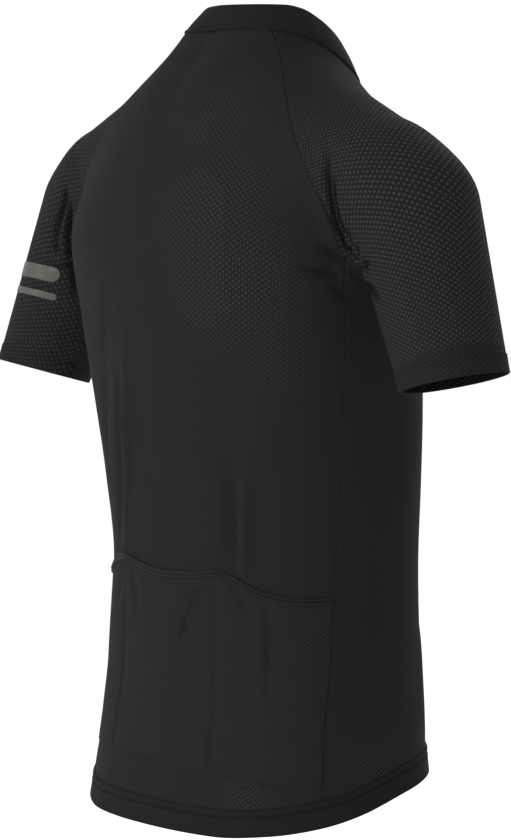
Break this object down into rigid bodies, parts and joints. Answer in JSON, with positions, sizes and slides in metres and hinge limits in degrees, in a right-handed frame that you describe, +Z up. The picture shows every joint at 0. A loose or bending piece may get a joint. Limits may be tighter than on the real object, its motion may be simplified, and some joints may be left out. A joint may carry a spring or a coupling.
{
  "type": "cycling jersey",
  "caption": "Short-sleeved raglan cycling jersey held in worn shape, with stand-up collar, front zip, dropped hem band and back pockets.",
  "frame": {"origin": "middle of the neck base, where the wearer's neck and shoulders hold the garment", "axes": "+Z up, the front faces -Y, the wearer's left is at +X"},
  "size_m": [0.7191, 0.2785, 0.7382],
  "materials": {
    "body_knit": "fine matt polyester knit with soft zones of open mesh",
    "sleeve_mesh_knit": "matt honeycomb mesh knit",
    "pocket_knit": "matt fine ribbed knit",
    "elastic_binding": "folded elastic with a slight sheen",
    "collar_knit": "smooth doubled knit",
    "band_knit": "smooth doubled knit",
    "reflective_film": "grey heat-bonded reflective film",
    "zip_tape": "woven tape",
    "zip_teeth": "moulded coil teeth",
    "zip_metal": "black lacquered die-cast metal"
  },
  "bodies": {
    "garment": {"back": "body_knit", "front_right": "body_knit", "front_left": "body_knit", "sleeve_right": "sleeve_mesh_knit", "sleeve_left": "sleeve_mesh_knit", "pocket_panel": "pocket_knit", "pocket_binding": "elastic_binding", "collar": "collar_knit", "hem_band": "band_knit", "reflective_bar_wide": "reflective_film", "reflective_bar_narrow": "reflective_film", "zip_tape_right": "zip_tape", "zip_tape_left": "zip_tape", "zip_chain": "zip_teeth", "zip_slider": "zip_metal"},
    "pull": {"zip_pull": "zip_metal"}
  },
  "joints": [
    {"name": "pull_swing", "type": "hinge", "parent": "garment", "child": "pull", "pos_m": [0, -0.08426, -0.03764], "axis": [1, 0, 0], "range_deg": [-150, 15]}
  ]
}
